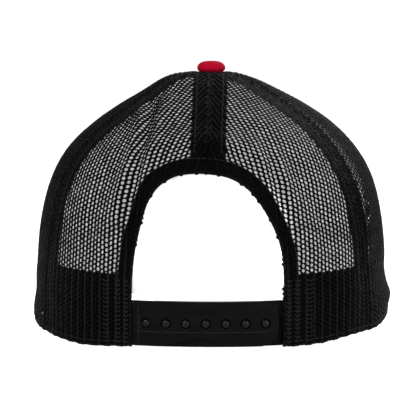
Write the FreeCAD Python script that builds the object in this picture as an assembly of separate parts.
"""Six-panel trucker cap: mesh side and rear panels, stiffened cloth front panels, curved visor,
covered top button and a two-part plastic snap strap across an arched rear opening.

Frame: +Z up, origin on the rim plane under the top button. The visor points along -Y, the rear
opening along +Y, and +X is the wearer's left. Lengths are millimetres. Angles are degrees from
the rear centre, positive towards +X. Every crown layer is a (outer, inner) pair of depths below
the crown's outer surface, so the layers nest with small clearances.
"""
import FreeCAD, Part
import math, os

Vector = FreeCAD.Vector
SIDES = ((1, "left"), (-1, "right"))

# ---------------------------------------------------------------- crown dimensions
CROWN_H = 125.6          # rim plane to the top of the crown
HALF_W = 88.0            # half width at the rim
REAR_L = 93.0            # origin to the rear of the rim
FRONT_L = 97.0           # origin to the front of the rim
REAR_POWER, FRONT_POWER = 2.30, 2.15   # squareness of the rim's plan, rear and front halves
FRONT_FULL = 0.055       # how much fuller the stiffened front is than the mesh rear
FULL_DEG = (75.0, 150.0)       # angles over which that fullness grows
RIM_ARCH_DEG = (80.0, 108.0)   # angles over which the rim starts to arch over the visor
REAR_SEAM = {1: 59.0, -1: 55.0}   # seam between rear and side panels, left and right
FRONT_SEAM = 119.0       # seam between side and front panels
SEAM_GAP = 0.12          # half the gap between two neighbouring panels
APEX_R = 3.6             # radius of the clear hole at the top, under the button
TOP_SHARE = 0.9945       # height of the flat top under the button, as a share of CROWN_H

# ---------------------------------------------------------------- layers
MESH = (0, 1.0)
CLOTH = (0, 0.7)
STIFFENER = (0.88, 1.6)
MESH_TAPE = (1.2, 1.75)     # seam tape behind the mesh
FRONT_TAPE = (1.8, 2.3)     # seam tape behind the stiffener
CENTRE_TAPE = (1.95, 2.45)  # seam tape along the centre line
PAD = (2.8, 4.05)           # brow pad
BAND = (4.25, 5.45)         # sweatband
THREAD = (-0.42, -0.1)      # sewing thread, standing on the outer surface
BINDING = (1.2, 1.85)       # tape that binds the rear opening
STRAP_OUT = (1.2, 2.6)      # strap half with holes
STRAP_IN = (2.8, 4.05)      # strap half with pegs
VISOR_TOP_COVER = (0.0, 0.6)     # visor layers are measured below the visor's top
VISOR_BOARD = (0.75, 2.65)
VISOR_UNDER_COVER = (2.8, 3.4)

# ---------------------------------------------------------------- tapes, binding, bands, thread
TAPE_W = 16.0
TAPE_END_R = 17.0        # plan radius where the side tapes stop
CENTRE_FRONT_Z, CENTRE_REAR_Z = 12.5, 90.4   # lower ends of the centre tape
TAPE_FLAT = (42.0, 60.0)  # distance from the origin where the centre tape leaves flat spacing
TAPE_HOLE_R = 2.6        # hole for the button's stem
TAPE_SPLIT = 0.1         # half the gap between the front and rear centre tapes
BIND_W, BIND_CLEAR = 7.4, 0.2   # binding's outer and inner distance from the opening
BIND_Z = 23.2            # lower ends of the binding
BAND_H = 33.8            # sweatband height at the rear
BAND_Z = 0.2             # lower edge of the sweatband
BAND_RISE = 0.6          # share of the rim's arch that the band's top follows
BAND_EDGE = 23.6         # angle where the sweatband stops beside the opening
BAND_SPLIT = 106.0       # angle where the dark sweatband meets the light front one
BAND_GAP = 0.3           # half the gap there, degrees
STITCH_W, TACK_W = 0.6, 0.7
STITCH_SHIFT = 6.0       # seam to the stitching on either side
TACK_X = (39.5, 41.7, 43.9)
TACK_Z, TACK_L = 2.0, 18.0

# ---------------------------------------------------------------- strap
STRAP_Z = (0.3, 21.8)    # lower and upper edge of the strap
STRAP_MID_Z = sum(STRAP_Z) / 2
STRAP_TIP = 8.5          # length of the rounded free ends
PITCH = 9.5
PEG_X = [29.3 - PITCH * i for i in range(7)]
HOLE_R, HOLE_RIM_R = 2.3, 2.85
CONE_FLARE, CONE_H, CONE_SINK = 0.35, 0.9, 0.55   # cutter that opens out each hole's rim
PEG_R, PEG_H, PEG_BEVEL, PEG_ROOT = 1.9, 1.62, 0.5, 0.4
CHANNEL_H, CHANNEL_D = 7.8, 0.35   # shallow channel that the row of holes lies in
CHANNEL_INSET = 2.4      # hinge to the channel's start
HINGE_X = 34.4           # where each strap half bends, just inside the edge of the opening
HINGE_GAP = 0.42         # hinge to sewn tab
HINGE_INSET = 0.03       # how much slimmer than the strap the hinge's radius is
TAB_X = 48.5             # far end of the sewn tabs
TIP_X = -33.7            # rounded free end of the half with holes
TAIL_X = 32.6            # free end of the half with pegs

# ---------------------------------------------------------------- visor
VISOR_L = 71.0           # front of the rim to the visor's front edge
VISOR_HALF_DEG = 66.0    # half angle of rim that the visor is sewn to
VISOR_R = 241.7          # radius of the visor's sideways curve
VISOR_SLOPE = 0.09       # fall towards the front edge
VISOR_RISE = 9.0         # height of the visor's top at the front centre of the rim
VISOR_LEAN = 0.45        # how far the visor's sides spread outwards
SIDE_POWER, CORNER_POWER = 3.2, 0.62   # shape of the visor's outline
VISOR_ROWS, ROW_FIRST, ROW_PITCH = 8, 5.5, 7.2   # stitching rows, in from the outer edge
ROW_END = 2.0            # length of visor left behind a row at its ends

# ---------------------------------------------------------------- button
BUTTON_R, BUTTON_H = 7.1, 5.2
BUTTON_Z = CROWN_H + 0.05
BUTTON_WALL = 0.5        # wall of the cover and of the shell
SHELL_INSET = 0.6        # cover's outside to the shell's
STEM_R, STEM_TOP, STEM_DROP = 1.6, 0.9, 1.4   # STEM_TOP is below the button's top
FLANGE_R, FLANGE_T = 2.5, 0.35
WASHER_R, WASHER_BORE, WASHER_T, WASHER_DROP = 5.5, 1.72, 0.9, 0.95
UNDER_TAPE_Z = CROWN_H * TOP_SHARE - CENTRE_TAPE[1] - 0.15   # just below the centre tape

# Rear opening seen from behind: (x, z) from the left foot of the arch, over the top, to the right.
ARCH = [
    (36.2, 21.6), (36.0, 30.2), (35.2, 39.4), (33.9, 47.6), (32.2, 54.8),
    (30.2, 61.9), (27.6, 69.1), (23.2, 75.4), (15.8, 79.9), (6.2, 81.5),
    (-3.0, 81.2), (-10.6, 79.3), (-17.7, 75.3), (-23.4, 69.3), (-28.0, 62.3),
    (-31.3, 55.8), (-33.9, 48.6), (-35.5, 41.5), (-36.2, 33.3), (-36.2, 21.6),
]

# Side profile: (share of the crown's height, share of the rim radius), from the rim to the top,
# with a slight dip under the button.
PROFILE = [
    (0.0, 1.0), (0.09, 1.0), (0.18, 1.0), (0.25, 0.992), (0.32, 0.984), (0.39, 0.974),
    (0.45, 0.961), (0.51, 0.943), (0.565, 0.919), (0.615, 0.890), (0.665, 0.851),
    (0.715, 0.801), (0.765, 0.737), (0.815, 0.653), (0.86, 0.554), (0.90, 0.453),
    (0.935, 0.356), (0.968, 0.255), (0.989, 0.165), (0.998, 0.105), (0.996, 0.065),
    (0.993, 0.0),
]


# ---------------------------------------------------------------- crown surface
def spline(xs, ys):
    """A shape-preserving cubic through the points, as a function."""
    count = len(xs)
    steps = [xs[i + 1] - xs[i] for i in range(count - 1)]
    rates = [(ys[i + 1] - ys[i]) / steps[i] for i in range(count - 1)]
    slopes = [rates[0]] + [0.0] * (count - 2) + [rates[-1]]
    for i in range(1, count - 1):
        if rates[i - 1] * rates[i] > 0:
            before = 2 * steps[i] + steps[i - 1]
            after = steps[i] + 2 * steps[i - 1]
            slopes[i] = (before + after) / (before / rates[i - 1] + after / rates[i])

    def value(x):
        i = 0
        while i < count - 2 and x > xs[i + 1]:
            i += 1
        t = (x - xs[i]) / steps[i]
        return ((1 + 2 * t) * (1 - t) ** 2 * ys[i] + t * (1 - t) ** 2 * steps[i] * slopes[i]
                + t * t * (3 - 2 * t) * ys[i + 1] + t * t * (t - 1) * steps[i] * slopes[i + 1])
    return value


def profile_splines():
    """Height share and radius share as functions of the climb, 0 at the rim to 1 at the top."""
    lengths = [0.0]
    for start, end in zip(PROFILE, PROFILE[1:]):
        lengths.append(lengths[-1] + math.hypot(end[0] - start[0], end[1] - start[1]))
    climbs = [length / lengths[-1] for length in lengths]
    return [spline(climbs, column) for column in zip(*PROFILE)]


height_share, radius_share = profile_splines()


def wrap(deg):
    return (deg + 180.0) % 360.0 - 180.0


def outward(deg):
    """Level unit vector away from the crown's axis."""
    angle = math.radians(deg)
    return Vector(math.sin(angle), math.cos(angle), 0)


def rim_radius(deg):
    way = outward(deg)
    power, length = (REAR_POWER, REAR_L) if way.y >= 0 else (FRONT_POWER, FRONT_L)
    reach = (abs(way.x) / HALF_W) ** power + (abs(way.y) / length) ** power
    return 1.0 / reach ** (1.0 / power)


def smooth(x, low, high):
    t = min(1.0, max(0.0, (x - low) / (high - low)))
    return t * t * (3 - 2 * t)


def surface(deg, climb):
    """Outer surface of the crown."""
    share = radius_share(climb)
    bulge = 4 * share * max(0.0, 1 - share) * min(1.0, share / 0.5)
    share += FRONT_FULL * smooth(abs(wrap(deg)), *FULL_DEG) * bulge
    point = outward(deg) * (rim_radius(deg) * share)
    point.z = CROWN_H * height_share(climb)
    return point


def crown(deg, climb, depth):
    """A point at a depth below the crown's outer surface."""
    low, high = max(0.0, climb - 1e-3), min(1.0, climb + 1e-3)
    upwards = surface(deg, high) - surface(deg, low)
    normal = upwards.cross(surface(deg + 0.2, climb) - surface(deg - 0.2, climb))
    normal.normalize()
    if normal.dot(outward(deg) + Vector(0, 0, 1)) < 0:
        normal = normal * -1
    return surface(deg, climb) - normal * depth


def solve(function, low, high, target, rising=True):
    """Where a steadily rising or falling function meets the target, by halving."""
    for _ in range(36):
        middle = (low + high) / 2
        if (function(middle) < target) == rising:
            low = middle
        else:
            high = middle
    return (low + high) / 2


def climb_at_z(z):
    return solve(lambda climb: height_share(climb) * CROWN_H, 0.0, 0.9, z)


def plan_radius(deg, climb):
    point = surface(deg, climb)
    return math.hypot(point.x, point.y)


def climb_at_radius(deg, radius):
    return solve(lambda climb: plan_radius(deg, climb), 0.25, 1.0, radius, rising=False)


def visor_top(x, y):
    return VISOR_RISE - x * x / (2 * VISOR_R) + VISOR_SLOPE * (y + FRONT_L)


def rim_z(deg):
    """Height of the crown's lower edge: level behind, arched over the visor in front."""
    point = outward(deg) * (rim_radius(deg) - 1.8)
    z = visor_top(point.x, point.y) + 0.2
    # The square root rounds off the change from zero to the visor's height.
    return 0.5 * (z + math.sqrt(z * z + 2.0)) * smooth(abs(wrap(deg)), *RIM_ARCH_DEG)


# ---------------------------------------------------------------- solids from point grids
fits = {}


def spline_fit(count):
    """Knots of a clamped cubic through even steps, and the matrix from its values to its poles."""
    if count in fits:
        return fits[count]
    steps = [i / (count - 1.0) for i in range(count)]
    inner = [sum(steps[j + 1:j + 4]) / 3.0 for j in range(count - 4)]
    knots = [0.0] * 4 + inner + [1.0] * 4
    rows = []
    for i, x in enumerate(steps):
        last = max(k for k in range(3, count) if knots[k] <= x)
        basis = [1.0 if k == last else 0.0 for k in range(count + 3)]
        for degree in (1, 2, 3):
            for k in range(count + 3 - degree):
                left = knots[k + degree] - knots[k]
                right = knots[k + degree + 1] - knots[k + 1]
                rise = (x - knots[k]) / left * basis[k] if left else 0.0
                fall = (knots[k + degree + 1] - x) / right * basis[k + 1] if right else 0.0
                basis[k] = rise + fall
        rows.append(basis[:count] + [1.0 if k == i else 0.0 for k in range(count)])
    # Gauss-Jordan elimination leaves the inverse in the right half of the rows.
    for i in range(count):
        best = max(range(i, count), key=lambda k: abs(rows[k][i]))
        rows[i], rows[best] = rows[best], rows[i]
        rows[i] = [value / rows[i][i] for value in rows[i]]
        for k in range(count):
            if k != i and rows[k][i]:
                factor = rows[k][i]
                rows[k] = [a - factor * b for a, b in zip(rows[k], rows[i])]
    fits[count] = ([0.0] + inner + [1.0], [row[count:] for row in rows])
    return fits[count]


def mix(weights, points):
    total = Vector(0, 0, 0)
    for weight, point in zip(weights, points):
        if abs(weight) > 1e-12:
            total = total + point * weight
    return total


def surface_through(grid):
    """A smooth surface through a grid of points."""
    knots_u, matrix_u = spline_fit(len(grid))
    knots_v, matrix_v = spline_fit(len(grid[0]))
    half = [[mix(weights, column) for column in zip(*grid)] for weights in matrix_u]
    poles = [[mix(weights, row) for weights in matrix_v] for row in half]
    counts_u, counts_v = ([4] + [1] * (len(k) - 2) + [4] for k in (knots_u, knots_v))
    result = Part.BSplineSurface()
    result.buildFromPolesMultsKnots(
        poles, counts_u, counts_v, knots_u, knots_v, False, False, 3, 3)
    return result


def thick(point, layer, nu, nv):
    """A solid between point(u, v, outer) and point(u, v, inner), u and v from 0 to 1."""
    outer, inner = (
        surface_through([[point(i / (nu - 1.0), j / (nv - 1.0), depth) for j in range(nv)]
                         for i in range(nu)])
        for depth in layer)

    def borders(skin):
        u0, u1, v0, v1 = skin.bounds()
        return skin.uIso(u0), skin.uIso(u1), skin.vIso(v0), skin.vIso(v1)
    faces = [outer.toShape(), inner.toShape()]
    for a, b in zip(borders(outer), borders(inner)):
        faces.append(Part.makeRuledSurface(a.toShape(), b.toShape()))
    shell = Part.makeShell(faces)
    shell.sewShape()
    solid = Part.makeSolid(shell)
    if solid.Volume < 0:
        solid.reverse()
    return solid


def height_at(edge, deg):
    """An edge is either one height or a function of the angle."""
    return edge(deg) if callable(edge) else edge


def sector(degs, bottom, top_radius, layer, nu, nv, gap=SEAM_GAP):
    """A panel between two seams, from a lower edge to a radius near the top."""
    start, end = degs

    def point(u, v, depth):
        deg = start + (end - start) * u
        low = climb_at_z(height_at(bottom, deg))
        climb = low + (climb_at_radius(deg, top_radius) - low) * v
        trim = math.degrees(gap / plan_radius(deg, climb))
        return crown(start + trim + (end - start - 2 * trim) * u, climb, depth)
    return thick(point, layer, nu, nv)


def belt(degs, bottom, top, layer, nu, nv):
    """A band around the crown between two edges."""
    start, end = degs

    def point(u, v, depth):
        deg = start + (end - start) * u
        low = height_at(bottom, deg)
        z = low + (height_at(top, deg) - low) * v
        result = crown(deg, climb_at_z(max(z, 0.5)), depth)
        if z < 20:
            result.z = z
        return result
    return thick(point, layer, nu, nv)


def ribbon(deg, width, bottom, top_radius, layer, shift=0.0):
    """A strip of constant width that follows a seam, or runs beside it."""
    def point(u, v, depth):
        low = climb_at_z(bottom)
        climb = low + (climb_at_radius(deg, top_radius) - low) * v
        offset = shift + width * (u - 0.5)
        turn = math.degrees(offset / max(plan_radius(deg, climb), 8.0))
        return crown(deg + turn, climb, depth)
    return thick(point, layer, 4, 29)


# ---------------------------------------------------------------- small helpers
def span(side, start, end):
    """Two angles on one side of the cap, in rising order."""
    return sorted((side * start, side * end))


def curve_through(points):
    curve = Part.BSplineCurve()
    curve.interpolate(points)
    return curve.toShape()


def prism(curve_points, corners, y, length):
    """A solid along +Y whose outline is a curve closed by straight lines over the corners."""
    stops = [curve_points[-1]] + corners + [curve_points[0]]
    lines = [Part.makeLine(a, b) for a, b in zip(stops, stops[1:])]
    solid = Part.Face(Part.Wire([curve_through(curve_points)] + lines)).extrude(
        Vector(0, length, 0))
    solid.translate(Vector(0, y, 0))
    return solid


def arch_prism(grow):
    """The rear opening as a solid along Y, grown outwards by a distance."""
    points = [Vector(x, 0, z) for x, z in ARCH]
    last = len(points) - 1
    moved = []
    for i, point in enumerate(points):
        along = points[min(last, i + 1)] - points[max(0, i - 1)]
        along.normalize()
        normal = Vector(-along.z, 0, along.x)
        if normal.dot(point - Vector(0, 0, 40)) < 0:
            normal = normal * -1
        if i in (0, last):
            normal = Vector(1 if point.x > 0 else -1, 0, 0)
        moved.append(point + normal * grow)
    feet = [Vector(moved[-1].x, 0, -5), Vector(moved[0].x, 0, -5)]
    return prism(moved, feet, 20, 110)


def block(x0, x1, y0, y1, z0, z1):
    return Part.makeBox(x1 - x0, y1 - y0, z1 - z0, Vector(x0, y0, z0))


def largest(shape):
    return max(shape.Solids, key=lambda solid: solid.Volume)


# ---------------------------------------------------------------- crown pieces
def rear_mesh_panel(side):
    panel = sector(span(side, 0, REAR_SEAM[side]), 0.0, APEX_R, MESH, 17, 39)
    return largest(panel.cut(arch_prism(0.0)))


def side_mesh_panel(side):
    return sector(span(side, REAR_SEAM[side], FRONT_SEAM), rim_z, APEX_R, MESH, 19, 39)


def front_panel(side):
    return sector(span(side, FRONT_SEAM, 180), rim_z, APEX_R, CLOTH, 19, 39)


def front_stiffener(side):
    return sector(span(side, FRONT_SEAM + 1, 180), lambda deg: rim_z(deg) + 1.5, 10.0,
                  STIFFENER, 17, 35)


def rear_side_seam_tape(side):
    return ribbon(side * REAR_SEAM[side], TAPE_W, 1.0, TAPE_END_R, MESH_TAPE)


def front_side_seam_tape(side):
    return ribbon(side * FRONT_SEAM, TAPE_W, rim_z(FRONT_SEAM) + 4.0, TAPE_END_R, FRONT_TAPE)


def centre_tape_point(u, v, depth):
    """The centre seam's tape from the front rim over the top to above the rear opening."""
    offset = (2 * u - 1) * TAPE_W / 2
    front, rear = climb_at_z(CENTRE_FRONT_Z), climb_at_z(CENTRE_REAR_Z)
    climb = front + v * ((1.0 - front) + (1.0 - rear))
    base = 180.0
    if climb > 1.0:
        base, climb = 0.0, 2.0 - climb
    y = surface(base, climb).y
    flat = 1.0 - smooth(abs(y), *TAPE_FLAT)
    point = Vector(0, 0, 0)
    # Near the top the tape is spaced in plan, since angles crowd together there.
    if flat > 0:
        deg = math.degrees(math.atan2(offset, y))
        radius = math.hypot(offset, y)
        if radius > 4.0:
            upper = crown(deg, climb_at_radius(deg, radius), depth)
        else:
            upper = Vector(offset, y, CROWN_H * TOP_SHARE - depth)
        point = point + upper * flat
    if flat < 1:
        turn = math.degrees(math.asin(offset / abs(y))) * (1 if base == 0 else -1)
        point = point + crown(base + turn, climb, depth) * (1 - flat)
    return point


def centre_tapes():
    """The rear and front halves of the centre tape."""
    whole = thick(centre_tape_point, CENTRE_TAPE, 7, 45)
    whole = whole.cut(Part.makeCylinder(TAPE_HOLE_R, 40, Vector(0, 0, CROWN_H - 30)))
    return (largest(whole.common(block(-20, 20, TAPE_SPLIT, 120, 0, 140))),
            largest(whole.common(block(-20, 20, -120, -TAPE_SPLIT, 0, 140))))


def rear_opening_binding():
    sheet = sector((-52, 52), 22.0, 30.0, BINDING, 27, 25, gap=0.0)
    ring = sheet.common(arch_prism(BIND_W)).cut(arch_prism(BIND_CLEAR))
    return ring.cut(block(-90, 90, 0, 130, -10, BIND_Z))


# ---------------------------------------------------------------- sweatband and brow pad
def band_top(deg):
    return BAND_H + BAND_RISE * rim_z(deg)


def front_band_bottom(deg):
    return BAND_Z + (rim_z(deg) - 4.8) * smooth(abs(wrap(deg)), 108.0, 124.0)


def sweatband(side):
    return belt(span(side, BAND_EDGE, BAND_SPLIT - BAND_GAP), BAND_Z, band_top, BAND, 29, 6)


def sweatband_front():
    start = BAND_SPLIT + BAND_GAP
    return belt((start, 360.0 - start), front_band_bottom, band_top, BAND, 49, 7)


def brow_pad():
    return belt((136.0, 224.0), lambda deg: rim_z(deg) + 2.6, lambda deg: rim_z(deg) + 27.0,
                PAD, 27, 5)


# ---------------------------------------------------------------- visor
def visor_edge(k):
    """Rim point, direction to the outer edge and distance to it; k runs from -1 to 1 (+X)."""
    deg = 180.0 - k * VISOR_HALF_DEG
    way = Vector(VISOR_LEAN * math.sin(math.radians(k * VISOR_HALF_DEG)), -1, 0)
    way.normalize()
    length = VISOR_L * (1 - abs(k) ** SIDE_POWER) ** CORNER_POWER
    return outward(deg) * rim_radius(deg), way, length


def below_visor_top(point, depth):
    return Vector(point.x, point.y, visor_top(point.x, point.y) - depth)


def spread(u, reach):
    """Steps from -reach to reach along the visor's edge, closer together at its ends."""
    return reach * math.sin((u - 0.5) * math.pi * 0.93) / math.sin(0.5 * math.pi * 0.93)


def visor_layer(layer, reach, inset, trim):
    """inset is how far the sewn edge lies inside the rim, trim how far the outer edge is cut."""
    def point(u, v, depth):
        k = spread(u, reach)
        rim, way, length = visor_edge(k)
        start = rim - outward(180.0 - k * VISOR_HALF_DEG) * inset
        end = rim + way * max(0.6, length - trim)
        return below_visor_top(start + (end - start) * v, depth)
    return thick(point, layer, 61, 9)


def visor_row(offset):
    """One row of stitching at an offset from the outer edge."""
    share = (offset + ROW_END) / VISOR_L
    reach = (1 - share ** (1 / CORNER_POWER)) ** (1 / SIDE_POWER)

    def point(u, v, depth):
        rim, way, length = visor_edge(spread(u, reach))
        return below_visor_top(rim + way * (length - offset + STITCH_W * (v - 0.5)), depth)
    return thick(point, THREAD, 41, 4)


def visor_stitching():
    return Part.makeCompound([visor_row(ROW_FIRST + ROW_PITCH * i) for i in range(VISOR_ROWS)])


# ---------------------------------------------------------------- button
def dome(radius, height):
    """Half outline of a low domed cap, from its lower edge to its top."""
    outline = [(radius * 0.93, 0), (radius * 0.985, 0.12 * height), (radius, 0.30 * height)]
    steps = 14
    for i in range(1, steps + 1):
        angle = math.pi / 2 * i / steps
        x = radius * math.cos(angle) ** 0.80 if i < steps else 0.0
        outline.append((x, height * (0.30 + 0.70 * math.sin(angle))))
    return [Vector(x, 0, BUTTON_Z + z) for x, z in outline]


def cap(radius, height):
    """A hollow domed cap, open below."""
    outer, inner = dome(radius, height), dome(radius - BUTTON_WALL, height - BUTTON_WALL)
    wire = Part.Wire([curve_through(outer), Part.makeLine(outer[-1], inner[-1]),
                      curve_through(inner), Part.makeLine(inner[0], outer[0])])
    return Part.Face(wire).revolve(Vector(0, 0, 0), Vector(0, 0, 1), 360)


def button_shell():
    """Inner cap with a stem through the crown and a small flange at the stem's foot."""
    foot_z = UNDER_TAPE_Z - STEM_DROP
    foot = Vector(0, 0, foot_z)
    stem = Part.makeCylinder(STEM_R, BUTTON_Z + BUTTON_H - STEM_TOP - foot_z, foot)
    flange = Part.makeCylinder(FLANGE_R, FLANGE_T, foot)
    shell = cap(BUTTON_R - SHELL_INSET, BUTTON_H - SHELL_INSET).fuse([stem, flange])
    return largest(shell.removeSplitter())


def button_washer():
    disc = Part.makeCylinder(WASHER_R, WASHER_T, Vector(0, 0, UNDER_TAPE_Z - WASHER_DROP))
    return disc.cut(Part.makeCylinder(WASHER_BORE, 4, Vector(0, 0, UNDER_TAPE_Z - 3)))


# ---------------------------------------------------------------- snap strap
def strap_point(x, depth, z):
    """A point on the rear rim curve moved to height z, and its level outward direction."""
    climb = climb_at_z(8.0)
    deg = solve(lambda d: crown(d, climb, depth).x, -60.0, 60.0, x)
    point, further = crown(deg, climb, depth), crown(deg, climb, depth - 1.0)
    return Vector(point.x, point.y, z), Vector(further.x - point.x, further.y - point.y, 0)


def strap_sheet(x0, x1, layer, z_range=STRAP_Z, nu=25):
    bottom, top = z_range

    def point(u, v, depth):
        return strap_point(x0 + (x1 - x0) * u, depth, bottom + (top - bottom) * v)[0]
    return thick(point, layer, nu, 4)


def tongue(x_root, x_tip, tip_length, z_range=STRAP_Z):
    """A strap outline with an elliptical free end, as a solid along Y."""
    bottom, top = z_range
    middle, half = (bottom + top) / 2, (top - bottom) / 2
    centre = x_tip - math.copysign(tip_length, x_tip - x_root)
    angles = [math.pi * i / 16 for i in range(17)]
    tip = [Vector(centre + (x_tip - centre) * math.sin(a), 0, middle + half * math.cos(a))
           for a in angles]
    return prism(tip, [Vector(x_root, 0, bottom), Vector(x_root, 0, top)], 60, 60)


def hinge_radius(layer):
    return (layer[1] - layer[0]) / 2 - HINGE_INSET


def hinge(x, layer):
    """Upright round bar on the strap's middle depth."""
    foot, _ = strap_point(x, sum(layer) / 2, STRAP_Z[0])
    return Part.makeCylinder(hinge_radius(layer), STRAP_Z[1] - STRAP_Z[0], foot)


def hole_cutters(x):
    """A through hole and the cone that opens out its outer rim."""
    point, out = strap_point(x, STRAP_OUT[0], STRAP_MID_Z)
    return [Part.makeCylinder(HOLE_R, 4, point + out, out * -1),
            Part.makeCone(HOLE_R, HOLE_RIM_R + CONE_FLARE, CONE_H,
                          point - out * (CHANNEL_D + CONE_SINK), out)]


def strap_channel():
    half = CHANNEL_H / 2
    z_range = (STRAP_MID_Z - half, STRAP_MID_Z + half)
    layer = (STRAP_OUT[0] - 0.6, STRAP_OUT[0] + CHANNEL_D)
    sheet = strap_sheet(HINGE_X + 2, TIP_X - 1, layer, z_range)
    return sheet.common(tongue(HINGE_X - CHANNEL_INSET, PEG_X[-1] - half, half, z_range))


def outer_strap():
    strap = strap_sheet(HINGE_X, TIP_X - 1, STRAP_OUT)
    strap = strap.common(tongue(HINGE_X + 1, TIP_X, STRAP_TIP))
    cutters = [strap_channel()]
    for x in PEG_X:
        cutters += hole_cutters(x)
    return largest(largest(strap.cut(cutters)).fuse(hinge(HINGE_X, STRAP_OUT)))


def outer_strap_tab():
    start = HINGE_X + hinge_radius(STRAP_OUT) + HINGE_GAP
    return strap_sheet(start, TAB_X, STRAP_OUT, nu=9)


def peg(x):
    """A round peg with a bevelled end, on the axis of its hole and rooted in the inner strap."""
    point, out = strap_point(x, STRAP_OUT[0], STRAP_MID_Z)
    out = out * (1.0 / out.Length)
    point = point - out * (STRAP_IN[0] - STRAP_OUT[0])
    solid = Part.makeCylinder(PEG_R, PEG_H + PEG_ROOT, point - out * PEG_ROOT, out)
    tip = point + out * PEG_H
    end = [edge for edge in solid.Edges
           if (edge.CenterOfMass - tip).Length < 0.3 and edge.Length > 2 * PEG_R]
    return solid.makeChamfer(PEG_BEVEL, end)


def inner_strap():
    strap = strap_sheet(-HINGE_X, TAIL_X + 1, STRAP_IN)
    strap = strap.common(tongue(-HINGE_X - 1, TAIL_X, STRAP_TIP))
    return largest(strap.fuse([peg(x) for x in PEG_X] + [hinge(-HINGE_X, STRAP_IN)]))


def inner_strap_tab():
    end = -HINGE_X - hinge_radius(STRAP_IN) - HINGE_GAP
    return strap_sheet(-TAB_X, end, STRAP_IN, nu=9)


# ---------------------------------------------------------------- thread
def tack_bar(side, x):
    def point(u, v, depth):
        climb = climb_at_z(TACK_Z + TACK_L * v)
        deg = solve(lambda d: crown(d, climb, 0).x, 0.0, 60.0, x + TACK_W * (u - 0.5))
        return crown(side * deg, climb, depth)
    return thick(point, THREAD, 4, 7)


def strap_tack_stitching(side):
    return Part.makeCompound([tack_bar(side, x) for x in TACK_X])


def seam_topstitching():
    """A row of thread on both sides of every seam."""
    seams = [   # angle, lower end, plan radius of the upper end
        (REAR_SEAM[1], 3.0, 18.0), (-REAR_SEAM[-1], 3.0, 18.0),
        (FRONT_SEAM, 6.5, 18.0), (-FRONT_SEAM, 6.5, 18.0),
        (180.0, CENTRE_FRONT_Z, 22.0), (0.0, CENTRE_REAR_Z + 2.0, 22.0),
    ]
    return Part.makeCompound([
        ribbon(deg, STITCH_W, bottom, top_radius, THREAD, shift)
        for deg, bottom, top_radius in seams for shift in (-STITCH_SHIFT, STITCH_SHIFT)])


# ---------------------------------------------------------------- build and export
parts = {}
for build in (rear_mesh_panel, side_mesh_panel, front_panel, front_stiffener,
              rear_side_seam_tape, front_side_seam_tape, sweatband, strap_tack_stitching):
    for side, side_name in SIDES:
        parts[build.__name__ + "_" + side_name] = build(side)
for build in (rear_opening_binding, sweatband_front, brow_pad, visor_stitching, button_shell,
              button_washer, outer_strap, outer_strap_tab, inner_strap, inner_strap_tab,
              seam_topstitching):
    parts[build.__name__] = build()
parts["centre_seam_tape_rear"], parts["centre_seam_tape_front"] = centre_tapes()
parts["visor_top_cover"] = visor_layer(VISOR_TOP_COVER, reach=0.997, inset=3.8, trim=0.0)
parts["visor_board"] = visor_layer(VISOR_BOARD, reach=0.96, inset=-0.4, trim=1.6)
parts["visor_under_cover"] = visor_layer(VISOR_UNDER_COVER, reach=0.997, inset=3.8, trim=0.0)
parts["button_cover"] = cap(BUTTON_R, BUTTON_H)

os.makedirs("parts", exist_ok=True)
for name, shape in parts.items():
    shape.exportStep("parts/%s.step" % name)
